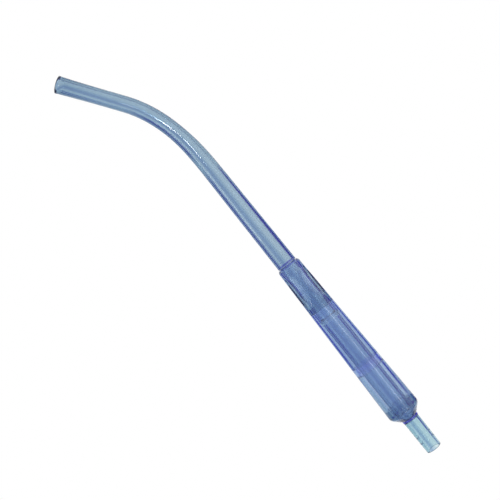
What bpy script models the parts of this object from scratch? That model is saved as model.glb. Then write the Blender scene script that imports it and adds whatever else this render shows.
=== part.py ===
"""Rigid suction tip: a bent clear tube, a hollow two-part grip, an inner flow tube and a hose nozzle.

The grip's axis is the X axis, with the hose nozzle at +X, and the tube's bend lies flat, towards -Y.
The part lies on its side: its lowest point, the grip's rear shoulder, is at Z = 0, and the origin is the
centre of the bottom of its box. All sizes are in metres. Places along the grip are measured from the front
end of the grip, and places along the tube are arc lengths measured from there towards the mouth.
"""

import math

import bmesh
import bpy

MM = 0.001
FIT_GAP = 0.3 * MM          # clearance left between two pieces that are bonded together
OVERLAP = 2.0 * MM          # how far joined shapes run into each other, and cutters past a face

# Suction tube: centreline
STRAIGHT_LENGTH = 61.0 * MM     # from the grip to the start of the bend
BEND_LENGTH = 60.8 * MM
MOUTH_LENGTH = 36.8 * MM        # straight run from the bend to the mouth
BEND_ANGLE = math.radians(35.2)
BEND_EASE = 1.59                # above 1, the bend tightens towards the mouth
TUBE_LENGTH = STRAIGHT_LENGTH + BEND_LENGTH + MOUTH_LENGTH

# Suction tube: outside and bore radii at places along it
TUBE_RADII = (
    (0.0, 5.55 * MM),
    (70.0 * MM, 4.92 * MM),
    (94.0 * MM, 4.42 * MM),
    (132.0 * MM, 4.31 * MM),
    (TUBE_LENGTH - 2.0 * MM, 4.62 * MM),
    (TUBE_LENGTH, 4.85 * MM),
)
BORE_RADII = (
    (-40.0 * MM, 4.0 * MM),
    (0.0, 4.0 * MM),
    (STRAIGHT_LENGTH, 3.5 * MM),
    (100.0 * MM, 2.75 * MM),
    (TUBE_LENGTH - 2.2 * MM, 2.75 * MM),
    (TUBE_LENGTH, 3.6 * MM),
    (TUBE_LENGTH + OVERLAP, 4.37 * MM),
)
TUBE_STATION = 4.0 * MM         # spacing of the sections along the bend
TUBE_SIDES = 32
SPIGOT_R = 4.8 * MM
SPIGOT_END = 34.4 * MM

# Grip: outside
COLLAR_FRONT = FIT_GAP
COLLAR_FACE_R = 5.75 * MM
COLLAR_CHAMFER_END = 1.4 * MM
GRIP_FRONT_R = 6.6 * MM
SHOULDER = 98.0 * MM
SHOULDER_R = 9.15 * MM
SHOULDER_ROUND = 1.2 * MM
CONE_END = 102.5 * MM
NECK_R = 4.7 * MM
NECK_END = 103.7 * MM
SEAM = 69.5 * MM                # where the rear half starts, seen from outside

# Grip: scooped finger rests
SCOOP_COUNT = 4
SCOOP_MIDDLE = 13.7 * MM
SCOOP_DEPTH = 1.25 * MM
SCOOP_RADIUS = 44.0 * MM
SCOOP_FIRST_ANGLE = math.radians(45.0)
SCOOP_SIDES = 320

# Grip: inside
SOCKET_R = SPIGOT_R + FIT_GAP
CHAMBER_FRONT = 29.0 * MM
CHAMBER_FRONT_R = 6.3 * MM
CHAMBER_REAR_R = 6.95 * MM
LAP_LENGTH = 4.8 * MM
LAP_R = 7.45 * MM               # outside of the rear half's spigot
LAP_SOCKET_R = LAP_R + FIT_GAP
REAR_CHAMBER_R = 6.85 * MM
REAR_CHAMBER_END = 93.0 * MM
SEAT_END = 98.6 * MM
NECK_BORE_R = 4.15 * MM

# Grip: round moulding mark on top of the rear half
GATE_PLACE = 95.8 * MM
GATE_R = 1.2 * MM
GATE_DEPTH = 0.2 * MM

# Flow tube
FLOW_R = 5.3 * MM
FLOW_BORE_R = 3.7 * MM
BELL_R = 5.95 * MM
BELL_FRONT = CHAMBER_FRONT + FIT_GAP
BELL_BOTTOM = SPIGOT_END + FIT_GAP
BELL_TAPER_END = 37.0 * MM
FLOW_END = SEAT_END - FIT_GAP

# Hose nozzle
NOZZLE_SHOULDER = NECK_END + FIT_GAP
NOZZLE_ROOT_R = 4.46 * MM
NOZZLE_END_R = 4.27 * MM
NOZZLE_END = 123.3 * MM
NOZZLE_STEPS = (114.0 * MM, 117.4 * MM)
NOZZLE_STEP_DROP = 0.06 * MM
NOZZLE_STEP_WIDTH = 0.25 * MM
NOZZLE_SPIGOT_R = NECK_BORE_R - FIT_GAP
NOZZLE_SPIGOT_FRONT = SEAT_END + 0.5 * MM
NOZZLE_BORE_R = 3.1 * MM
NOZZLE_EDGE = 0.3 * MM          # chamfer at the nozzle's open end

TURN_STEPS = 64
SHARP_ANGLE = math.radians(25.0)

# Material of each piece: colour, roughness, metallic
COLOURS = {
    "tube_blue": ((0.42, 0.60, 0.78, 1.0), 0.08, 0.0),
    "grip_blue": ((0.16, 0.24, 0.62, 1.0), 0.08, 0.0),
    "nozzle_clear": ((0.55, 0.72, 0.82, 1.0), 0.08, 0.0),
}


def clear_scene():
    for thing in list(bpy.data.objects):
        bpy.data.objects.remove(thing, do_unlink=True)


def new_collection(name):
    group = bpy.data.collections.new(name)
    bpy.context.scene.collection.children.link(group)
    return group


def plastic(name):
    colour, roughness, metallic = COLOURS[name]
    material = bpy.data.materials.get(name)
    if material is None:
        material = bpy.data.materials.new(name)
        material.use_nodes = True
        shader = material.node_tree.nodes["Principled BSDF"]
        shader.inputs["Base Color"].default_value = colour
        shader.inputs["Roughness"].default_value = roughness
        shader.inputs["Metallic"].default_value = metallic
        material.diffuse_color = colour
    return material


def add_object(name, mesh, group, parent):
    thing = bpy.data.objects.new(name, mesh)
    group.objects.link(thing)
    thing.parent = parent
    return thing


def finish_piece(thing, material_name):
    """Smooth round faces, sharp edges, and the piece's own material."""
    thing.data.shade_smooth()
    thing.data.set_sharp_from_angle(angle=SHARP_ANGLE)
    thing.data.materials.clear()
    thing.data.materials.append(plastic(material_name))


def hide_cutter(thing):
    thing.hide_render = True
    thing.display_type = "WIRE"


def radius_at(table, place):
    """Outside or bore radius at a place, straight between the table's entries."""
    for (start, start_r), (end, end_r) in zip(table, table[1:]):
        if place <= end:
            return start_r + (end_r - start_r) * (place - start) / (end - start)
    return table[-1][1]


def heading(place):
    """Angle of the tube's centreline away from the grip's axis."""
    share = min(max((place - STRAIGHT_LENGTH) / BEND_LENGTH, 0.0), 1.0)
    return BEND_ANGLE * share**BEND_EASE


def centre_point(place):
    """Point of the tube's centreline, by adding up short chords of the bend."""
    if place <= STRAIGHT_LENGTH:
        return -place, 0.0
    x, y = -STRAIGHT_LENGTH, 0.0
    steps = 200
    chord = (place - STRAIGHT_LENGTH) / steps
    for i in range(steps):
        angle = heading(STRAIGHT_LENGTH + (i + 0.5) * chord)
        x -= chord * math.cos(angle)
        y -= chord * math.sin(angle)
    return x, y


def stations(table, first, last):
    """Places where a tube gets a section: the radius table's own, and evenly along the bend."""
    count = math.ceil(BEND_LENGTH / TUBE_STATION)
    bend = [STRAIGHT_LENGTH + BEND_LENGTH * i / count for i in range(count + 1)]
    places = sorted(bend + [place for place, _ in table] + [first, last])
    kept = []
    for place in places:
        if first <= place <= last and (not kept or place - kept[-1] > 0.5 * MM):
            kept.append(place)
    kept[-1] = last
    return kept


def swept_tube(name, table, first, last, group, parent):
    """A round rod along the centreline, made as a curve and turned into a closed mesh."""
    curve = bpy.data.curves.new(name, "CURVE")
    curve.dimensions = "3D"
    curve.bevel_depth = 1.0
    curve.bevel_resolution = (TUBE_SIDES - 4) // 2
    curve.use_fill_caps = True
    places = stations(table, first, last)
    spline = curve.splines.new("POLY")
    spline.points.add(len(places) - 1)
    for point, place in zip(spline.points, places):
        x, y = centre_point(place)
        point.co = (x, y, 0.0, 1.0)
        point.radius = radius_at(table, place)
    guide = add_object(name + "_curve", curve, group, parent)
    bpy.context.view_layer.update()
    evaluated = guide.evaluated_get(bpy.context.evaluated_depsgraph_get())
    mesh = bpy.data.meshes.new_from_object(evaluated)
    bpy.data.objects.remove(guide, do_unlink=True)
    weld(mesh)
    return add_object(name, mesh, group, parent)


def weld(mesh):
    shape = bmesh.new()
    shape.from_mesh(mesh)
    bmesh.ops.remove_doubles(shape, verts=shape.verts, dist=0.001 * MM)
    bmesh.ops.recalc_face_normals(shape, faces=shape.faces)
    shape.to_mesh(mesh)
    shape.free()


def turned(name, outline, group, parent, steps=TURN_STEPS):
    """A closed outline of (place, radius) points, turned about the grip's axis.

    The outline runs along the outside towards -X, then back through the bore.
    """
    mesh = bpy.data.meshes.new(name)
    points = [(radius, 0.0, place) for place, radius in outline]
    edges = [(i, (i + 1) % len(points)) for i in range(len(points))]
    mesh.from_pydata(points, edges, [])
    thing = add_object(name, mesh, group, parent)
    thing.rotation_euler = (0.0, math.radians(90.0), 0.0)
    screw = thing.modifiers.new("turn", "SCREW")
    screw.axis = "Z"
    screw.steps = steps
    screw.render_steps = steps
    screw.use_merge_vertices = True
    screw.merge_threshold = 0.00001
    return thing


def bake_modifiers(thing):
    """Turn an object's modifiers into its mesh, so that it can be shaded and cut further."""
    bpy.context.view_layer.update()
    evaluated = thing.evaluated_get(bpy.context.evaluated_depsgraph_get())
    mesh = bpy.data.meshes.new_from_object(evaluated)
    mesh.name = thing.name
    thing.modifiers.clear()
    thing.data = mesh


def boolean(thing, tool, operation):
    step = thing.modifiers.new(tool.name, "BOOLEAN")
    step.operation = operation
    step.solver = "EXACT"
    step.object = tool
    hide_cutter(tool)


def rod(name, start, end, radius, group, parent, steps=TURN_STEPS):
    """A plain cylinder along the grip's axis."""
    mesh = bpy.data.meshes.new(name)
    shape = bmesh.new()
    bmesh.ops.create_cone(
        shape, cap_ends=True, segments=steps, radius1=radius, radius2=radius, depth=end - start
    )
    shape.to_mesh(mesh)
    shape.free()
    thing = add_object(name, mesh, group, parent)
    thing.rotation_euler = (0.0, math.radians(90.0), 0.0)
    thing.location = ((start + end) / 2, 0.0, 0.0)
    return thing


def grip_radius(place):
    """The grip's outside radius, a straight taper from the collar to the shoulder."""
    share = (place - COLLAR_CHAMFER_END) / (SHOULDER - COLLAR_CHAMFER_END)
    return GRIP_FRONT_R + (SHOULDER_R - GRIP_FRONT_R) * share


def make_suction_tube(parts, cutters, frame):
    tube = swept_tube("suction_tube", TUBE_RADII, 0.0, TUBE_LENGTH, parts, frame)
    spigot = rod("tube_spigot", -OVERLAP, SPIGOT_END, SPIGOT_R, cutters, frame, TUBE_SIDES)
    bore = swept_tube(
        "tube_bore", BORE_RADII, -SPIGOT_END - OVERLAP, TUBE_LENGTH + OVERLAP, cutters, frame
    )
    boolean(tube, spigot, "UNION")
    boolean(tube, bore, "DIFFERENCE")
    finish_piece(tube, "tube_blue")


def add_scoops(grip, cutters, frame):
    """Cut the finger rests with large cylinders that lie across the grip's axis."""
    depth_to_axis = grip_radius(SCOOP_MIDDLE) - SCOOP_DEPTH + SCOOP_RADIUS
    for i in range(SCOOP_COUNT):
        angle = SCOOP_FIRST_ANGLE + 2 * math.pi * i / SCOOP_COUNT
        mesh = bpy.data.meshes.new(f"scoop_{i + 1}")
        shape = bmesh.new()
        bmesh.ops.create_cone(
            shape,
            cap_ends=True,
            segments=SCOOP_SIDES,
            radius1=SCOOP_RADIUS,
            radius2=SCOOP_RADIUS,
            depth=4 * GRIP_FRONT_R,
        )
        shape.to_mesh(mesh)
        shape.free()
        scoop = add_object(f"scoop_{i + 1}", mesh, cutters, frame)
        scoop.rotation_euler = (angle, 0.0, 0.0)
        scoop.location = (
            SCOOP_MIDDLE,
            depth_to_axis * math.cos(angle),
            depth_to_axis * math.sin(angle),
        )
        boolean(grip, scoop, "DIFFERENCE")


def make_front_grip(parts, cutters, frame):
    lap_bottom = SEAM - LAP_LENGTH - FIT_GAP
    outline = [
        (SEAM, grip_radius(SEAM)),
        (COLLAR_CHAMFER_END, GRIP_FRONT_R),
        (COLLAR_FRONT, COLLAR_FACE_R),
        (COLLAR_FRONT, SOCKET_R),
        (CHAMBER_FRONT, SOCKET_R),
        (CHAMBER_FRONT, CHAMBER_FRONT_R),
        (lap_bottom, CHAMBER_REAR_R),
        (lap_bottom, LAP_SOCKET_R),
        (SEAM, LAP_SOCKET_R),
    ]
    grip = turned("front_grip", outline, parts, frame)
    add_scoops(grip, cutters, frame)
    bake_modifiers(grip)
    finish_piece(grip, "grip_blue")


def shoulder_round():
    """Points that round the corner between the taper and the cone."""
    slope_in = math.atan2(SHOULDER_R - GRIP_FRONT_R, SHOULDER - COLLAR_CHAMFER_END)
    slope_out = math.atan2(NECK_R - SHOULDER_R, CONE_END - SHOULDER)
    half_turn = (slope_in - slope_out) / 2
    radius = SHOULDER_ROUND / math.tan(half_turn)
    start = SHOULDER - SHOULDER_ROUND * math.cos(slope_in)
    start_r = SHOULDER_R - SHOULDER_ROUND * math.sin(slope_in)
    centre = start + radius * math.sin(slope_in)
    centre_r = start_r - radius * math.cos(slope_in)
    points = []
    for i in range(6):
        slope = slope_in + (slope_out - slope_in) * i / 5
        points.append((centre - radius * math.sin(slope), centre_r + radius * math.cos(slope)))
    return points


def add_gate_mark(grip, cutters, frame):
    gate = rod("gate_mark", 0.0, OVERLAP, GATE_R, cutters, frame, TUBE_SIDES)
    gate.rotation_euler = (0.0, 0.0, 0.0)
    gate.location = (GATE_PLACE, 0.0, grip_radius(GATE_PLACE) - GATE_DEPTH + OVERLAP / 2)
    boolean(grip, gate, "DIFFERENCE")


def make_rear_grip(parts, cutters, frame):
    start = SEAM + FIT_GAP
    outline = [
        (NECK_END, NECK_R),
        (CONE_END, NECK_R),
        *reversed(shoulder_round()),
        (start, grip_radius(start)),
        (start, LAP_R),
        (start - LAP_LENGTH, LAP_R),
        (start - LAP_LENGTH, REAR_CHAMBER_R),
        (REAR_CHAMBER_END, REAR_CHAMBER_R),
        (REAR_CHAMBER_END, FLOW_R + FIT_GAP),
        (SEAT_END, FLOW_R + FIT_GAP),
        (SEAT_END, NECK_BORE_R),
        (NECK_END, NECK_BORE_R),
    ]
    grip = turned("rear_grip", outline, parts, frame)
    add_gate_mark(grip, cutters, frame)
    bake_modifiers(grip)
    finish_piece(grip, "grip_blue")


def make_flow_tube(parts, frame):
    outline = [
        (FLOW_END, FLOW_R),
        (BELL_TAPER_END, FLOW_R),
        (BELL_BOTTOM, BELL_R),
        (BELL_FRONT, BELL_R),
        (BELL_FRONT, SPIGOT_R + FIT_GAP),
        (BELL_BOTTOM, SPIGOT_R + FIT_GAP),
        (BELL_BOTTOM, FLOW_BORE_R),
        (FLOW_END, FLOW_BORE_R),
    ]
    tube = turned("flow_tube", outline, parts, frame, 48)
    bake_modifiers(tube)
    finish_piece(tube, "tube_blue")


def nozzle_radius(place):
    share = (place - NOZZLE_SHOULDER) / (NOZZLE_END - NOZZLE_SHOULDER)
    return NOZZLE_ROOT_R + (NOZZLE_END_R - NOZZLE_ROOT_R) * share


def make_hose_nozzle(parts, frame):
    outline = [(NOZZLE_END, NOZZLE_END_R - NOZZLE_EDGE), (NOZZLE_END - NOZZLE_EDGE, NOZZLE_END_R)]
    for step in reversed(NOZZLE_STEPS):
        outline.append((step + NOZZLE_STEP_WIDTH, nozzle_radius(step)))
        outline.append((step, nozzle_radius(step) + NOZZLE_STEP_DROP))
        outline.append((step - NOZZLE_STEP_WIDTH, nozzle_radius(step)))
    outline += [
        (NOZZLE_SHOULDER, NOZZLE_ROOT_R),
        (NOZZLE_SHOULDER, NOZZLE_SPIGOT_R),
        (NOZZLE_SPIGOT_FRONT, NOZZLE_SPIGOT_R),
        (NOZZLE_SPIGOT_FRONT, NOZZLE_BORE_R),
        (NOZZLE_END, NOZZLE_BORE_R),
    ]
    nozzle = turned("hose_nozzle", outline, parts, frame, 48)
    bake_modifiers(nozzle)
    finish_piece(nozzle, "nozzle_clear")


def place_frame():
    """An empty on the grip's axis that puts the box's bottom centre at the origin."""
    mouth_x, mouth_y = centre_point(TUBE_LENGTH)
    lip_r = TUBE_RADII[-1][1]
    lowest_x = mouth_x - lip_r * math.sin(BEND_ANGLE)
    lowest_y = mouth_y - lip_r * math.cos(BEND_ANGLE)
    frame = bpy.data.objects.new("grip_axis", None)
    bpy.context.scene.collection.objects.link(frame)
    widest = max(radius for _, radius in shoulder_round())
    frame.location = (-(lowest_x + NOZZLE_END) / 2, -(lowest_y + widest) / 2, widest)
    return frame


def main():
    clear_scene()
    parts = new_collection("suction_tip")
    cutters = new_collection("cutters")
    frame = place_frame()
    make_suction_tube(parts, cutters, frame)
    make_front_grip(parts, cutters, frame)
    make_rear_grip(parts, cutters, frame)
    make_flow_tube(parts, frame)
    make_hose_nozzle(parts, frame)


main()
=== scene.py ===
"""Looks of the rigid suction tip: fine clear-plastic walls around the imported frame, light, floor and camera.

Places along the grip are measured from the front end of the grip towards the hose nozzle, and places along
the suction tube are arc lengths measured from there towards the mouth. All sizes are in metres.
"""

import math

import bmesh
import bpy
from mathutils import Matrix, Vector


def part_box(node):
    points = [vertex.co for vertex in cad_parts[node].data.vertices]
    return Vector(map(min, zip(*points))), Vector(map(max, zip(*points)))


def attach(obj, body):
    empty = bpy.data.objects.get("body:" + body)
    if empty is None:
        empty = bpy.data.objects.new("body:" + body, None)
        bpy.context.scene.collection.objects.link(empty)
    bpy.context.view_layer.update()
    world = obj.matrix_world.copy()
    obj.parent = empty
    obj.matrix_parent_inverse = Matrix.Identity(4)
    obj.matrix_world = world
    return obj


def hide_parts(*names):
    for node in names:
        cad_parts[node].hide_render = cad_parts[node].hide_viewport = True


MM = 0.001

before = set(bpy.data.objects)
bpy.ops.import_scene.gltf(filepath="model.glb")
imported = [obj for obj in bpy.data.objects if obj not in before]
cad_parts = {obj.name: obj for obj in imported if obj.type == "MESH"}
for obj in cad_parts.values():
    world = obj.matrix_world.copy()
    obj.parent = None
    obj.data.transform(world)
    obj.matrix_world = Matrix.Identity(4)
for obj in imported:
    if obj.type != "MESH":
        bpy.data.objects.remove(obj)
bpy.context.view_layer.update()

# Fit of the pieces, and driving sizes read from the frame
FIT_GAP = 0.3 * MM              # clearance between two bonded pieces
SHOWN_GAP = 0.1 * MM            # the lap joint's gap as it looks, closer than the fit gap
TUBE_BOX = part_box("suction_tube")
FRONT_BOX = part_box("front_grip")
REAR_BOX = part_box("rear_grip")
FLOW_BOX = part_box("flow_tube")
NOZZLE_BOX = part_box("hose_nozzle")
AXIS_Y = (NOZZLE_BOX[0].y + NOZZLE_BOX[1].y) / 2
AXIS_Z = (NOZZLE_BOX[0].z + NOZZLE_BOX[1].z) / 2
GRIP_START = FRONT_BOX[0].x - FIT_GAP
SEAM = FRONT_BOX[1].x - GRIP_START
NECK_END = REAR_BOX[1].x - GRIP_START
NOZZLE_END = NOZZLE_BOX[1].x - GRIP_START
FLOW_END = FLOW_BOX[1].x - GRIP_START
SPIGOT_END = TUBE_BOX[1].x - GRIP_START
SHOULDER_R = (REAR_BOX[1].z - REAR_BOX[0].z) / 2
NOZZLE_ROOT_R = (NOZZLE_BOX[1].z - NOZZLE_BOX[0].z) / 2
BELL_R = (FLOW_BOX[1].z - FLOW_BOX[0].z) / 2

# Suction tube: centreline, outside and bore
STRAIGHT_LENGTH = 61.0 * MM
BEND_LENGTH = 60.8 * MM
MOUTH_LENGTH = 36.8 * MM
BEND_ANGLE = math.radians(35.2)
BEND_EASE = 1.59                # above 1, the bend tightens towards the mouth
TUBE_LENGTH = STRAIGHT_LENGTH + BEND_LENGTH + MOUTH_LENGTH
TUBE_RADII = (
    (0.0, 5.55 * MM),
    (70.0 * MM, 4.92 * MM),
    (94.0 * MM, 4.42 * MM),
    (132.0 * MM, 4.31 * MM),
    (TUBE_LENGTH - 2.0 * MM, 4.62 * MM),
    (TUBE_LENGTH, 4.85 * MM),
)
BORE_RADII = (
    (-SPIGOT_END, 4.0 * MM),
    (0.0, 4.0 * MM),
    (STRAIGHT_LENGTH, 3.5 * MM),
    (100.0 * MM, 2.75 * MM),
    (TUBE_LENGTH - 2.4 * MM, 2.75 * MM),
    (TUBE_LENGTH, 3.6 * MM),
)
SPIGOT_R = 4.8 * MM
LIP_ROUND = 0.35 * MM           # rounding of the mouth's lip, outside
LIP_FLARE = 0.15 * MM           # how far the bore opens at the lip's very end
SPIGOT_ROUND = 0.25 * MM        # rounding of the spigot's rear end
SHOULDER_EDGE = 0.12 * MM       # chamfer of the shoulder that meets the grip

# Grip: places and radii of the corners of its two walls
COLLAR_FACE_R = 5.75 * MM
COLLAR_END = 1.4 * MM
GRIP_FRONT_R = 6.6 * MM
SHOULDER = 98.0 * MM
SHOULDER_ROUND = 1.2 * MM
CONE_END = 102.5 * MM
NECK_R = 4.7 * MM
CHAMBER_FRONT = 29.0 * MM
CHAMBER_FRONT_R = 6.3 * MM
CHAMBER_REAR_R = 6.95 * MM
LAP_LENGTH = 4.8 * MM
LAP_R = 7.45 * MM
REAR_CHAMBER_R = 6.85 * MM
REAR_CHAMBER_END = 93.0 * MM
SEAT_END = 98.6 * MM
NECK_BORE_R = 4.15 * MM

# Grip: round moulding mark on top of the rear half
GATE_PLACE = 95.8 * MM
GATE_R = 1.2 * MM
GATE_DEPTH = 0.2 * MM
GATE_EDGE = 0.2 * MM            # width of the mark's sloping edge

# Grip: scooped finger rests
SCOOP_COUNT = 4
SCOOP_MIDDLE = 13.7 * MM
SCOOP_DEPTH = 1.25 * MM
SCOOP_RADIUS = 44.0 * MM
SCOOP_FIRST_ANGLE = math.radians(45.0)
SCOOP_EDGE = 0.4 * MM           # softening of the edge where a rest meets the round outside
OUTSIDE_MARGIN = 0.3 * MM       # points this near the outside belong to it
COLLAR_MARGIN = 0.5 * MM        # the collar's edge is left round this far behind it
SCOOP_FACING = 0.2              # a rest cuts the outside where the cosine of the turn from it is above this

# Flow tube
FLOW_R = 5.3 * MM
FLOW_BORE_R = 3.7 * MM
BELL_BOTTOM = 34.7 * MM
BELL_TAPER_END = 37.0 * MM

# Hose nozzle
NOZZLE_END_R = 4.27 * MM
NOZZLE_STEPS = (114.0 * MM, 117.4 * MM)
NOZZLE_STEP_DROP = 0.12 * MM    # deeper than on the frame, so that the fine steps can be seen
NOZZLE_STEP_WIDTH = 0.25 * MM
NOZZLE_BORE_R = 3.1 * MM
NOZZLE_SHOULDER = NECK_END + FIT_GAP
NOZZLE_FRONT = SEAT_END + 0.5 * MM

# Meshing
SIDES = 160                     # points round a ring
ROUND_STEPS = 4                 # steps round a corner
SHOULDER_STEPS = 8
BEND_CHORDS = 200               # chords that the bend's centreline is added up from
WALL_STATION = 2.0 * MM         # spacing of the rings along a plain wall
TUBE_STATION = 1.2 * MM         # and along the suction tube
GRIP_STATION = 0.6 * MM         # and along the front grip, where the finger rests are cut
SUPPORT = 0.04 * MM             # how near a corner the rings that hold its shading lie
EDGE_ROUND = 0.1 * MM           # rounding of the corners of the grip and the flow tube
NOZZLE_EDGE = 0.18 * MM
FLAT_TURN = math.radians(12)    # corners that turn by less than this aren't rounded
CORNER_SHARE = 0.4              # most of a straight run that one corner's rounding takes
MARK_REACH = 1.5 * MM           # the finer mesh round the moulding mark
MARK_STEPS = 16                 # steps from its middle to its edge


def curve_radius(table, place):
    """Radius at a place, eased through the table's entries so that no edge shows between them."""
    places = [entry[0] for entry in table]
    radii = [entry[1] for entry in table]
    if place <= places[0]:
        return radii[0]
    if place >= places[-1]:
        return radii[-1]
    slopes = [(radii[i + 1] - radii[i]) / (places[i + 1] - places[i]) for i in range(len(table) - 1)]
    tangents = [slopes[0]]
    for before, after in zip(slopes, slopes[1:]):
        same_way = before * after > 0
        tangents.append(2 * before * after / (before + after) if same_way else 0.0)
    tangents.append(slopes[-1])
    i = max(k for k in range(len(table) - 1) if places[k] <= place)
    width = places[i + 1] - places[i]
    t = (place - places[i]) / width
    return (
        radii[i] * (1 + 2 * t) * (1 - t) ** 2
        + tangents[i] * width * t * (1 - t) ** 2
        + radii[i + 1] * t * t * (3 - 2 * t)
        + tangents[i + 1] * width * t * t * (t - 1)
    )


def heading(place):
    """Angle of the tube's centreline away from the grip's axis."""
    share = min(max((place - STRAIGHT_LENGTH) / BEND_LENGTH, 0.0), 1.0)
    return BEND_ANGLE * share**BEND_EASE


def centre_point(place):
    """Point of the tube's centreline, by adding up short chords of the bend."""
    if place <= STRAIGHT_LENGTH:
        return -place, 0.0
    x, y = -STRAIGHT_LENGTH, 0.0
    chord = (place - STRAIGHT_LENGTH) / BEND_CHORDS
    for i in range(BEND_CHORDS):
        angle = heading(STRAIGHT_LENGTH + (i + 0.5) * chord)
        x -= chord * math.cos(angle)
        y -= chord * math.sin(angle)
    return x, y


def rounded(outline, radius):
    """A closed outline of (place, radius) points with each sharp corner turned into an arc."""
    points = []
    count = len(outline)
    for i in range(count):
        before, corner, after = (Vector(outline[(i + k) % count]) for k in (-1, 0, 1))
        to_before, to_after = before - corner, after - corner
        turn = math.pi - to_before.angle(to_after)
        if turn < FLAT_TURN:
            points.append(tuple(corner))
            continue
        reach = min(
            radius * math.tan(turn / 2),
            to_before.length * CORNER_SHARE,
            to_after.length * CORNER_SHARE,
        )
        start = corner + to_before.normalized() * reach
        end = corner + to_after.normalized() * reach
        for k in range(ROUND_STEPS + 1):
            t = k / ROUND_STEPS
            points.append(tuple(start * (1 - t) ** 2 + corner * 2 * t * (1 - t) + end * t * t))
    return points


def spread(outline, spacing):
    """More points along each straight run, close to its ends and evenly between them."""
    points = []
    count = len(outline)
    for i in range(count):
        start, end = Vector(outline[i]), Vector(outline[(i + 1) % count])
        length = (end - start).length
        points.append(tuple(start))
        if length < 4 * SUPPORT:
            continue
        points.append(tuple(start.lerp(end, SUPPORT / length)))
        steps = max(1, math.ceil(length / spacing))
        points += [tuple(start.lerp(end, k / steps)) for k in range(1, steps)]
        points.append(tuple(start.lerp(end, 1 - SUPPORT / length)))
    return points


def closed_wall(name, rings, body="root"):
    """A closed body from rings of points in order, the last ring joined to the first."""
    shape = bmesh.new()
    rows = [[shape.verts.new(point) for point in ring] for ring in rings]
    for i in range(len(rows)):
        near, far = rows[i], rows[(i + 1) % len(rows)]
        for k in range(len(near)):
            after = (k + 1) % len(near)
            shape.faces.new((near[k], near[after], far[after], far[k]))
    bmesh.ops.recalc_face_normals(shape, faces=shape.faces)
    mesh = bpy.data.meshes.new(name)
    shape.to_mesh(mesh)
    shape.free()
    mesh.shade_smooth()
    piece = bpy.data.objects.new(name, mesh)
    bpy.context.scene.collection.objects.link(piece)
    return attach(piece, body)


def even_turns():
    """The turns of a plain ring, where a quarter turn is the top."""
    return [2 * math.pi * k / SIDES for k in range(SIDES)]


def turns_with_mark():
    """The turns of a ring, with more of them across the moulding mark on top."""
    reach = MARK_REACH / SHOULDER_R
    plain = [turn for turn in even_turns() if abs(turn - math.pi / 2) > reach]
    across = [math.pi / 2 + reach * (k / MARK_STEPS - 1) for k in range(2 * MARK_STEPS + 1)]
    return sorted(plain + across)


def ring(x, y, angle, radius_of, turns):
    """A ring square to a centreline that heads at an angle in the plane of the bend."""
    points = []
    for turn in turns:
        radius = radius_of(turn) if callable(radius_of) else radius_of
        across = radius * math.cos(turn)
        points.append(
            (
                GRIP_START + x - across * math.sin(angle),
                AXIS_Y + y + across * math.cos(angle),
                AXIS_Z + radius * math.sin(turn),
            )
        )
    return points


def turned(name, outline, edge, spacing=WALL_STATION, shape_of=None, turns=None):
    """A closed outline of (place, radius) points, turned about the grip's axis.

    shape_of makes a ring that isn't round: from a place and a radius it gives a radius for each turn.
    """
    turns = turns or even_turns()
    rings = []
    for place, radius in spread(rounded(outline, edge), spacing):
        radius_of = radius if shape_of is None else shape_of(place, radius)
        rings.append(ring(place, 0.0, 0.0, radius_of, turns))
    return closed_wall(name, rings)


def grip_radius(place):
    """The grip's outside radius, a straight taper from the collar to the shoulder."""
    share = (place - COLLAR_END) / (SHOULDER - COLLAR_END)
    return GRIP_FRONT_R + (SHOULDER_R - GRIP_FRONT_R) * share


def soft_least(a, b, width):
    """The smaller of two sizes, with the corner between them rounded."""
    share = min(max(0.5 + 0.5 * (b - a) / width, 0.0), 1.0)
    return b + (a - b) * share - width * share * (1 - share)


def scoop_height(place):
    """Distance of a finger rest's floor from the grip's axis."""
    off = min(abs(place - SCOOP_MIDDLE), SCOOP_RADIUS)
    floor = grip_radius(SCOOP_MIDDLE) - SCOOP_DEPTH + SCOOP_RADIUS
    return floor - math.sqrt(SCOOP_RADIUS**2 - off**2)


def scooped(place, radius):
    """The outside of the front grip: round, less the finger rests that lie across it."""
    height = scoop_height(place)
    if height > radius + SCOOP_EDGE:
        return radius

    def radius_of(turn):
        least = radius
        for i in range(SCOOP_COUNT):
            off = turn - SCOOP_FIRST_ANGLE - 2 * math.pi * i / SCOOP_COUNT
            if math.cos(off) > SCOOP_FACING:
                least = soft_least(height / math.cos(off), least, SCOOP_EDGE)
        return least

    return radius_of


def tube_outside():
    """Points of the tube's outside, from its shoulder at the grip to the rounded lip of the mouth."""
    lip_start = TUBE_LENGTH - LIP_ROUND
    lip_r = curve_radius(TUBE_RADII, lip_start)
    steps = math.ceil(TUBE_LENGTH / TUBE_STATION)
    places = [TUBE_LENGTH * i / steps for i in range(1, steps)]
    places += [lip_start - SUPPORT, lip_start]
    points = [(SHOULDER_EDGE, curve_radius(TUBE_RADII, 0.0))]
    points += [(place, curve_radius(TUBE_RADII, place)) for place in places]
    for k in range(1, ROUND_STEPS + 1):
        turn = math.pi / 2 * k / ROUND_STEPS
        points.append((lip_start + LIP_ROUND * math.sin(turn), lip_r - LIP_ROUND * (1 - math.cos(turn))))
    return points


def tube_bore():
    """Points of the tube's bore, from the mouth to the rear end of the spigot."""
    steps = math.ceil((TUBE_LENGTH + SPIGOT_END) / TUBE_STATION)
    run = TUBE_LENGTH + SPIGOT_END - 2 * SUPPORT
    places = [-SPIGOT_END + SUPPORT + run * i / steps for i in range(steps + 1)]
    points = [(TUBE_LENGTH, curve_radius(BORE_RADII, TUBE_LENGTH) + LIP_FLARE)]
    return points + [(place, curve_radius(BORE_RADII, place)) for place in reversed(places)]


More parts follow.
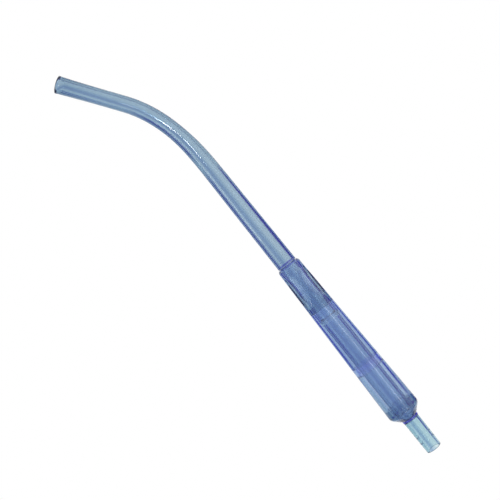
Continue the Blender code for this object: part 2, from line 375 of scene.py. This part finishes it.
def tube_spigot():
    """Points of the spigot's rear end and outside, up to the edge of the shoulder at the grip."""
    part_round = 0.3 * SPIGOT_ROUND     # close to the middle of a quarter round
    return [
        (-SPIGOT_END, curve_radius(BORE_RADII, -SPIGOT_END) + SPIGOT_ROUND),
        (-SPIGOT_END, SPIGOT_R - SPIGOT_ROUND),
        (-SPIGOT_END + part_round, SPIGOT_R - part_round),
        (-SPIGOT_END + SPIGOT_ROUND, SPIGOT_R),
        (-SPIGOT_END + SPIGOT_ROUND + SUPPORT, SPIGOT_R),
        (-SPIGOT_END / 2, SPIGOT_R),
        (-2 * SUPPORT, SPIGOT_R),
        (-SUPPORT, SPIGOT_R),
        (-SUPPORT * 0.2, SPIGOT_R + SUPPORT),
        (0.0, curve_radius(TUBE_RADII, 0.0) - SHOULDER_EDGE),
    ]


def make_suction_tube():
    rings = []
    for place, radius in tube_outside() + tube_bore() + tube_spigot():
        x, y = centre_point(place)
        rings.append(ring(x, y, heading(place), radius, even_turns()))
    tube = closed_wall("suction_tube_wall", rings)
    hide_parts("suction_tube")
    return tube


def make_front_grip():
    lap_bottom = SEAM + FIT_GAP - LAP_LENGTH - SHOWN_GAP
    lap_r = LAP_R + SHOWN_GAP
    socket_r = SPIGOT_R + FIT_GAP
    outline = [
        (SEAM, grip_radius(SEAM)),
        (COLLAR_END, GRIP_FRONT_R),
        (FIT_GAP, COLLAR_FACE_R),
        (FIT_GAP, socket_r),
        (CHAMBER_FRONT, socket_r),
        (CHAMBER_FRONT, CHAMBER_FRONT_R),
        (lap_bottom, CHAMBER_REAR_R),
        (lap_bottom, lap_r),
        (SEAM, lap_r),
    ]

    def shape_of(place, radius):
        outside = radius > grip_radius(place) - OUTSIDE_MARGIN
        behind_collar = place > COLLAR_END + COLLAR_MARGIN
        return scooped(place, radius) if outside and behind_collar else radius

    grip = turned("front_grip_wall", outline, EDGE_ROUND, GRIP_STATION, shape_of)
    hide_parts("front_grip")
    return grip


def shoulder_round():
    """Points that round the corner between the taper and the cone."""
    slope_in = math.atan2(SHOULDER_R - GRIP_FRONT_R, SHOULDER - COLLAR_END)
    slope_out = math.atan2(NECK_R - SHOULDER_R, CONE_END - SHOULDER)
    half_turn = (slope_in - slope_out) / 2
    radius = SHOULDER_ROUND / math.tan(half_turn)
    start = SHOULDER - SHOULDER_ROUND * math.cos(slope_in)
    start_r = SHOULDER_R - SHOULDER_ROUND * math.sin(slope_in)
    centre = start + radius * math.sin(slope_in)
    centre_r = start_r - radius * math.cos(slope_in)
    points = []
    for i in range(SHOULDER_STEPS + 1):
        slope = slope_in + (slope_out - slope_in) * i / SHOULDER_STEPS
        points.append((centre - radius * math.sin(slope), centre_r + radius * math.cos(slope)))
    return points


def marked(place, radius):
    """The outside of the rear grip: round, less the shallow round moulding mark on top."""
    if abs(place - GATE_PLACE) > MARK_REACH or radius < grip_radius(place) - GATE_DEPTH:
        return radius

    def radius_of(turn):
        off = math.hypot(place - GATE_PLACE, (turn - math.pi / 2) * radius)
        share = min(max((GATE_R - off) / GATE_EDGE, 0.0), 1.0)
        return radius - GATE_DEPTH * share * share * (3 - 2 * share)

    return radius_of


def make_rear_grip():
    start = SEAM + FIT_GAP
    mark_steps = 2 * MARK_STEPS
    mark_places = [GATE_PLACE + MARK_REACH * (1 - 2 * k / mark_steps) for k in range(mark_steps + 1)]
    round_start = shoulder_round()[0][0]
    mark_places = [place for place in mark_places if place < round_start - SUPPORT]
    outline = [
        (NECK_END, NECK_R),
        (CONE_END, NECK_R),
        *reversed(shoulder_round()),
        *[(place, grip_radius(place)) for place in mark_places],
        (start, grip_radius(start)),
        (start, LAP_R),
        (start - LAP_LENGTH, LAP_R),
        (start - LAP_LENGTH, REAR_CHAMBER_R),
        (REAR_CHAMBER_END, REAR_CHAMBER_R),
        (REAR_CHAMBER_END, FLOW_R + FIT_GAP),
        (SEAT_END, FLOW_R + FIT_GAP),
        (SEAT_END, NECK_BORE_R),
        (NECK_END, NECK_BORE_R),
    ]
    grip = turned("rear_grip_wall", outline, EDGE_ROUND, shape_of=marked, turns=turns_with_mark())
    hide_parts("rear_grip")
    return grip


def make_flow_tube():
    bell_front = CHAMBER_FRONT + FIT_GAP
    outline = [
        (FLOW_END, FLOW_R),
        (BELL_TAPER_END, FLOW_R),
        (BELL_BOTTOM, BELL_R),
        (bell_front, BELL_R),
        (bell_front, SPIGOT_R + FIT_GAP),
        (BELL_BOTTOM, SPIGOT_R + FIT_GAP),
        (BELL_BOTTOM, FLOW_BORE_R),
        (FLOW_END, FLOW_BORE_R),
    ]
    tube = turned("flow_tube_wall", outline, EDGE_ROUND)
    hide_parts("flow_tube")
    return tube


def nozzle_radius(place):
    """The nozzle's outside radius, a straight taper from its shoulder to its end."""
    share = (place - NOZZLE_SHOULDER) / (NOZZLE_END - NOZZLE_SHOULDER)
    return NOZZLE_ROOT_R + (NOZZLE_END_R - NOZZLE_ROOT_R) * share


def make_hose_nozzle():
    outline = [(NOZZLE_END, NOZZLE_END_R)]
    for step in reversed(NOZZLE_STEPS):
        outline.append((step + NOZZLE_STEP_WIDTH, nozzle_radius(step)))
        outline.append((step, nozzle_radius(step) + NOZZLE_STEP_DROP))
        outline.append((step - NOZZLE_STEP_WIDTH, nozzle_radius(step)))
    outline += [
        (NOZZLE_SHOULDER, NOZZLE_ROOT_R),
        (NOZZLE_SHOULDER, NECK_BORE_R - FIT_GAP),
        (NOZZLE_FRONT, NECK_BORE_R - FIT_GAP),
        (NOZZLE_FRONT, NOZZLE_BORE_R),
        (NOZZLE_END, NOZZLE_BORE_R),
    ]
    nozzle = turned("hose_nozzle_wall", outline, NOZZLE_EDGE)
    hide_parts("hose_nozzle")
    return nozzle


def arithmetic(nodes, links, operation, *terms):
    """The result of one step of arithmetic on numbers and on the outputs of nodes."""
    node = nodes.new("ShaderNodeMath")
    node.operation = operation
    for socket, term in zip(node.inputs, terms):
        if isinstance(term, float):
            socket.default_value = term
        else:
            links.new(term, socket)
    return node.outputs["Value"]


def smooth_mask(nodes, links, source, start, end):
    """0 at start and 1 at end, with a smooth change between them."""
    mask = nodes.new("ShaderNodeMapRange")
    mask.interpolation_type = "SMOOTHSTEP"
    mask.inputs["From Min"].default_value = start
    mask.inputs["From Max"].default_value = end
    links.new(source, mask.inputs["Value"])
    return mask.outputs["Result"]


def rise_and_fall(nodes, links, source, limits, fall_source=None):
    """1 between the two middle limits and 0 outside the outer two; the fall may follow another value."""
    rise = smooth_mask(nodes, links, source, limits[0], limits[1])
    fall = smooth_mask(nodes, links, fall_source or source, limits[3], limits[2])
    return arithmetic(nodes, links, "MULTIPLY", rise, fall)


def mixed(nodes, links, factor, a, b):
    """Colour a where the factor is 0 and colour b where it is 1."""
    mix = nodes.new("ShaderNodeMix")
    mix.data_type = "RGBA"
    links.new(factor, mix.inputs["Factor"])
    for key, source in (("A", a), ("B", b)):
        if isinstance(source, tuple):
            mix.inputs[key].default_value = source
        else:
            links.new(source, mix.inputs[key])
    return mix.outputs["Result"]


def tinted(nodes, links, a, b):
    """Two colours multiplied."""
    mix = nodes.new("ShaderNodeMix")
    mix.data_type = "RGBA"
    mix.blend_type = "MULTIPLY"
    mix.inputs["Factor"].default_value = 1.0
    links.new(a, mix.inputs["A"])
    links.new(b, mix.inputs["B"])
    return mix.outputs["Result"]


def ramp_of(nodes, links, source, stops):
    """The colour at a value from -1 to 1, eased between the stops."""
    share = nodes.new("ShaderNodeMapRange")
    share.inputs["From Min"].default_value = -1.0
    links.new(source, share.inputs["Value"])
    ramp = nodes.new("ShaderNodeValToRGB")
    ramp.color_ramp.interpolation = "EASE"
    elements = ramp.color_ramp.elements
    while len(elements) < len(stops):
        elements.new(0.5)
    for element, (at, colour) in zip(elements, stops):
        element.position = (at + 1) / 2
        element.color = (*colour, 1.0)
    links.new(share.outputs["Result"], ramp.inputs["Fac"])
    return ramp.outputs["Color"]


# Clear plastics
PLASTIC_INDEX = 1.57            # refractive index
FLOW_TUBE_INDEX = 1.33          # lower, because the flow tube's outline is very faint
GLOSS_ROUGHNESS = 0.02          # of the roughest handling marks
FLOW_LINE_SCALE = (60.0, 400.0, 400.0)  # to the metre: flow lines run along the part
MARK_SCALE = 900.0
PAINTED_GLOW_COLOUR = (0.22, 0.26, 1.0, 1.0)     # painted glow: blue light the plastic emits in place of light scattered inside the dyed plastic, which fills its dark edges
# Colours of a surface: plain, and along the flow lines
TUBE_SURFACE = ((0.97, 0.99, 1.0, 1), (0.95, 0.98, 1.0, 1))
GRIP_SURFACE = ((0.97, 0.98, 1.0, 1), (0.95, 0.97, 1.0, 1))
NOZZLE_SURFACE = ((0.97, 1.0, 1.0, 1), (0.95, 0.99, 1.0, 1))

# Bonds: the colours that they cloud the plastic to, and where they are along the grip
LAP_CLOUD = (0.74, 0.74, 0.90, 1.0)
NECK_CLOUD = (0.15, 0.13, 0.58, 1.0)
RIM_CLOUD = (0.40, 0.37, 0.80, 1.0)
LAP_BOND = (SEAM + FIT_GAP - LAP_LENGTH, SEAM, LAP_CLOUD)
NECK_BOND = (CONE_END, NECK_END, NECK_CLOUD)
TUBE_RIM_BOND = (-1.0 * MM, -0.5 * MM, RIM_CLOUD)
GRIP_RIM_BOND = (0.5 * MM, 1.1 * MM, RIM_CLOUD)
BOND_FADE = 0.2 * MM


def clear_plastic(name, surface, passed, density, painted_glow_strength, index=PLASTIC_INDEX, bonds=()):
    """Clear moulded plastic: coloured all through, with faint flow lines, handling marks and a faint painted
    blue glow.

    passed is the colour of light that gets through, and density is how much of the rest is lost to the metre.
    The glow strength after it sets the painted glow: blue emission that stands in for light scattered inside
    the plastic and fills its dark edges.
    Each of the bonds is a stretch of places along the grip, with the colour that the bond clouds it to.
    """
    material = bpy.data.materials.new(name)
    material.use_nodes = True
    nodes, links = material.node_tree.nodes, material.node_tree.links
    nodes.clear()

    def add(kind, **inputs):
        node = nodes.new(kind)
        for key, value in inputs.items():
            node.inputs[key.replace("_", " ")].default_value = value
        return node

    shader = add(
        "ShaderNodeBsdfPrincipled",
        IOR=index,
        Roughness=GLOSS_ROUGHNESS,
        Transmission_Weight=1.0,
        # painted glow: the plastic emits a faint blue light where light scattered inside it would be
        Emission_Color=PAINTED_GLOW_COLOUR,
        Emission_Strength=painted_glow_strength,
    )
    output = add("ShaderNodeOutputMaterial")
    links.new(shader.outputs["BSDF"], output.inputs["Surface"])
    absorption = add("ShaderNodeVolumeAbsorption", Color=passed, Density=density)
    links.new(absorption.outputs["Volume"], output.inputs["Volume"])

    place = add("ShaderNodeTexCoord")
    along = add("ShaderNodeMapping", Scale=FLOW_LINE_SCALE)
    links.new(place.outputs["Object"], along.inputs["Vector"])
    flow = add("ShaderNodeTexNoise", Scale=1.0, Detail=2.0, Roughness=0.5)
    links.new(along.outputs["Vector"], flow.inputs["Vector"])

    marks = add("ShaderNodeTexNoise", Scale=MARK_SCALE, Detail=4.0, Roughness=0.6)
    links.new(place.outputs["Object"], marks.inputs["Vector"])
    gloss = add("ShaderNodeMapRange", From_Min=0.35, From_Max=0.75, To_Min=0.0, To_Max=GLOSS_ROUGHNESS)
    links.new(marks.outputs["Fac"], gloss.inputs["Value"])
    links.new(gloss.outputs["Result"], shader.inputs["Roughness"])

    split = add("ShaderNodeSeparateXYZ")
    links.new(place.outputs["Object"], split.inputs["Vector"])
    colour = mixed(nodes, links, flow.outputs["Fac"], *surface)
    for start, end, cloud in bonds:
        limits = [GRIP_START + at for at in (start - BOND_FADE, start, end, end + BOND_FADE)]
        band = rise_and_fall(nodes, links, split.outputs["X"], limits)
        colour = mixed(nodes, links, band, colour, cloud)
    links.new(colour, shader.inputs["Base Color"])
    return material


def tube_plastic():
    passed = (0.0, 0.28, 0.42, 1)
    return clear_plastic("tube_blue_clear", TUBE_SURFACE, passed, 350.0, 0.011, bonds=[TUBE_RIM_BOND])


def front_grip_plastic():
    passed = (0.0, 0.26, 0.40, 1)
    return clear_plastic("grip_blue_clear", GRIP_SURFACE, passed, 320.0, 0.030, bonds=[GRIP_RIM_BOND])


def rear_grip_plastic():
    passed = (0.0, 0.27, 0.44, 1)
    bonds = [LAP_BOND, NECK_BOND]
    return clear_plastic("rear_grip_blue_clear", GRIP_SURFACE, passed, 255.0, 0.030, bonds=bonds)


def flow_tube_plastic():
    passed = (0.0, 0.26, 0.46, 1)
    return clear_plastic("flow_blue_clear", GRIP_SURFACE, passed, 200.0, 0.011, index=FLOW_TUBE_INDEX)


def nozzle_plastic():
    passed = (0.0, 0.42, 0.5, 1)
    return clear_plastic("nozzle_clear_plastic", NOZZLE_SURFACE, passed, 300.0, 0.004)


FLOOR_SIZE = 20.0
FLOOR_DROP = 0.0003             # how far the floor lies below the part


def make_floor():
    """A wide pane: white to look at, and clear to the light that reaches the object from below."""
    bpy.ops.mesh.primitive_plane_add(size=FLOOR_SIZE, location=(0.0, 0.0, -FLOOR_DROP))
    floor = bpy.context.object
    floor.name = "floor"
    material = bpy.data.materials.new("floor_white")
    material.use_nodes = True
    nodes, links = material.node_tree.nodes, material.node_tree.links
    nodes.clear()
    path = nodes.new("ShaderNodeLightPath")
    white = nodes.new("ShaderNodeEmission")
    white.inputs["Strength"].default_value = 1.0
    clear = nodes.new("ShaderNodeBsdfTransparent")
    mix = nodes.new("ShaderNodeMixShader")
    output = nodes.new("ShaderNodeOutputMaterial")
    links.new(path.outputs["Is Camera Ray"], mix.inputs["Fac"])
    links.new(clear.outputs["BSDF"], mix.inputs[1])
    links.new(white.outputs["Emission"], mix.inputs[2])
    links.new(mix.outputs["Shader"], output.inputs["Surface"])
    floor.data.materials.append(material)


# Light from below, by the sideways slope of its direction: -1 is level at -Y, 1 is level at +Y
LIGHT_BELOW = (
    (-1.0, (0.80, 0.90, 0.95)),
    (-0.40, (0.85, 0.93, 0.97)),
    (-0.27, (1.0, 1.0, 1.0)),
    (-0.19, (1.0, 1.0, 1.0)),
    (-0.13, (0.58, 0.64, 0.80)),
    (-0.04, (0.46, 0.55, 0.74)),
    (0.02, (0.70, 0.78, 0.87)),
    (0.09, (1.0, 1.0, 1.0)),
    (0.5, (1.0, 1.0, 1.0)),
    (1.0, (0.95, 0.98, 1.0)),
)
# Light from above, in the same way
LIGHT_ABOVE = (
    (-1.0, (0.6, 0.7, 0.9)),
    (0.0, (0.6, 0.65, 0.8)),
    (1.0, (1.0, 1.0, 1.0)),
)
# Share of the light that is left at each height of its direction: -1 is straight down, 0 is level
LOW_LIGHT = (
    (-1.0, (1.0, 1.0, 1.0)),
    (-0.50, (1.0, 1.0, 1.0)),
    (-0.36, (0.30, 0.38, 0.62)),
    (-0.14, (0.26, 0.34, 0.58)),
    (-0.06, (0.95, 0.98, 1.0)),
    (1.0, (1.0, 1.0, 1.0)),
)
# Share of the light that is left by the lengthwise slope of its direction: less of it behind the grip
LENGTHWISE_LIGHT = (
    (-1.0, (1.0, 1.0, 1.0)),
    (0.06, (1.0, 1.0, 1.0)),
    (0.12, (0.68, 0.77, 0.88)),
    (0.17, (0.68, 0.77, 0.88)),
    (0.205, (0.84, 0.89, 0.95)),
    (0.25, (1.0, 1.0, 1.0)),
    (1.0, (1.0, 1.0, 1.0)),
)
FLAG_LIGHT = (0.05, 0.03, 0.50, 1.0)    # the dim blue at both sides, square to the grip
# Rise and fall of the dim blue: by the lengthwise slope of the direction, and by its slope to that side
NEAR_FLAG_ALONG = (-0.12, -0.08, 0.15, 0.19)
NEAR_FLAG_ACROSS = (0.42, 0.50, 0.78, 0.86)
FAR_FLAG_ALONG = (-0.12, -0.08, 0.23, 0.28)
FAR_FLAG_ACROSS = (0.36, 0.46, 0.90, 0.96)
FAR_FLAG_SPREAD = 2.5                   # how fast the far blue's rise moves out, away from square
FAR_FLAG_MOST = 0.20                    # how far out it moves at most
BELOW_START = -0.2                      # height of a direction where the light from below is full


def flag_mask(nodes, links, along, across):
    """Where the dim blue at both sides is, from the two slopes of a direction."""
    towards_near = arithmetic(nodes, links, "MULTIPLY", across, -1.0)
    near_along = rise_and_fall(nodes, links, along, NEAR_FLAG_ALONG)
    near_across = rise_and_fall(nodes, links, towards_near, NEAR_FLAG_ACROSS)
    near = arithmetic(nodes, links, "MULTIPLY", near_along, near_across)
    off_square = arithmetic(nodes, links, "ABSOLUTE", along)
    shift = arithmetic(nodes, links, "MULTIPLY", off_square, FAR_FLAG_SPREAD)
    least_shift = arithmetic(nodes, links, "MINIMUM", shift, FAR_FLAG_MOST)
    shifted = arithmetic(nodes, links, "SUBTRACT", across, least_shift)
    far_along = rise_and_fall(nodes, links, along, FAR_FLAG_ALONG)
    far_across = rise_and_fall(nodes, links, shifted, FAR_FLAG_ACROSS, across)
    far = arithmetic(nodes, links, "MULTIPLY", far_along, far_across)
    return arithmetic(nodes, links, "MAXIMUM", near, far)


def light_around(nodes, links):
    """The colour of the light from each direction."""
    place = nodes.new("ShaderNodeTexCoord")
    split = nodes.new("ShaderNodeSeparateXYZ")
    links.new(place.outputs["Generated"], split.inputs["Vector"])
    lengthwise, sideways, height = (split.outputs[axis] for axis in "XYZ")
    under = nodes.new("ShaderNodeMapRange")
    under.inputs["From Min"].default_value = 0.0
    under.inputs["From Max"].default_value = BELOW_START
    links.new(height, under.inputs["Value"])
    below = ramp_of(nodes, links, sideways, LIGHT_BELOW)
    below = tinted(nodes, links, below, ramp_of(nodes, links, height, LOW_LIGHT))
    below = tinted(nodes, links, below, ramp_of(nodes, links, lengthwise, LENGTHWISE_LIGHT))
    blocked = flag_mask(nodes, links, lengthwise, sideways)
    flag = arithmetic(nodes, links, "MULTIPLY", blocked, under.outputs["Result"])
    below = mixed(nodes, links, flag, below, FLAG_LIGHT)
    above = ramp_of(nodes, links, sideways, LIGHT_ABOVE)
    return mixed(nodes, links, under.outputs["Result"], above, below)


def make_world():
    """White to look at, and coloured by direction as a light."""
    world = bpy.data.worlds.new("studio")
    bpy.context.scene.world = world
    world.use_nodes = True
    nodes, links = world.node_tree.nodes, world.node_tree.links
    nodes.clear()
    light = nodes.new("ShaderNodeBackground")
    links.new(light_around(nodes, links), light.inputs["Color"])
    seen = nodes.new("ShaderNodeBackground")
    seen.inputs["Color"].default_value = (1.0, 1.0, 1.0, 1.0)
    path = nodes.new("ShaderNodeLightPath")
    mix = nodes.new("ShaderNodeMixShader")
    output = nodes.new("ShaderNodeOutputWorld")
    links.new(path.outputs["Is Camera Ray"], mix.inputs["Fac"])
    links.new(light.outputs["Background"], mix.inputs[1])
    links.new(seen.outputs["Background"], mix.inputs[2])
    links.new(mix.outputs["Shader"], output.inputs["Surface"])


# Softboxes: name, location, width, height, power in watts, and tilt in degrees about X, Y and Z
SOFTBOXES = (
    ("bend_light", (-0.162, -0.050, 0.62), 0.016, 0.18, 0.11, (0, 0, 16)),
    ("grip_light", (0.16, 0.23, 0.51), 0.20, 0.05, 0.08, (0, 0, 0)),
    ("side_light", (-0.06, -0.455, 0.18), 0.10, 0.08, 0.06, (65, 0, 0)),
    ("nozzle_light", (0.40, 0.04, 0.51), 0.08, 0.08, 0.15, (0, 0, 0)),
)


def add_softbox(name, location, width, height, power, tilt):
    """A softbox that faces straight down before it is tilted, with its width along X."""
    light = bpy.data.lights.new(name, "AREA")
    light.shape = "RECTANGLE"
    light.size = width
    light.size_y = height
    light.energy = power
    lamp = bpy.data.objects.new(name, light)
    bpy.context.scene.collection.objects.link(lamp)
    lamp.location = location
    lamp.rotation_euler = [math.radians(angle) for angle in tilt]


# Camera: straight above the part
CAMERA_HEIGHT = 0.5             # above the grip's axis
CAMERA_TURN = math.radians(51.3)
SENSOR_WIDTH = 36.0
FRAME_WIDTH = 262.5 * MM        # width of the view at the grip's axis
FRAME_CENTRE = (-3.77 * MM, 4.53 * MM)


def make_camera():
    data = bpy.data.cameras.new("camera")
    data.sensor_width = SENSOR_WIDTH
    data.lens = data.sensor_width * CAMERA_HEIGHT / FRAME_WIDTH
    camera = bpy.data.objects.new("camera", data)
    bpy.context.scene.collection.objects.link(camera)
    camera.location = (FRAME_CENTRE[0], FRAME_CENTRE[1], AXIS_Z + CAMERA_HEIGHT)
    camera.rotation_euler = (0.0, 0.0, CAMERA_TURN)
    bpy.context.scene.camera = camera


LIGHT_BOUNCES = 32              # enough for light that runs on inside nested walls
# Each piece with its plastic
PIECES = (
    (make_suction_tube, tube_plastic),
    (make_front_grip, front_grip_plastic),
    (make_rear_grip, rear_grip_plastic),
    (make_flow_tube, flow_tube_plastic),
    (make_hose_nozzle, nozzle_plastic),
)


def main():
    bpy.context.scene.view_settings.view_transform = "Standard"
    cycles = bpy.context.scene.cycles
    cycles.max_bounces = LIGHT_BOUNCES
    cycles.transmission_bounces = LIGHT_BOUNCES
    cycles.glossy_bounces = LIGHT_BOUNCES
    make_camera()
    make_world()
    make_floor()
    for softbox in SOFTBOXES:
        add_softbox(*softbox)
    for make_piece, make_plastic in PIECES:
        make_piece().data.materials.append(make_plastic())


main()
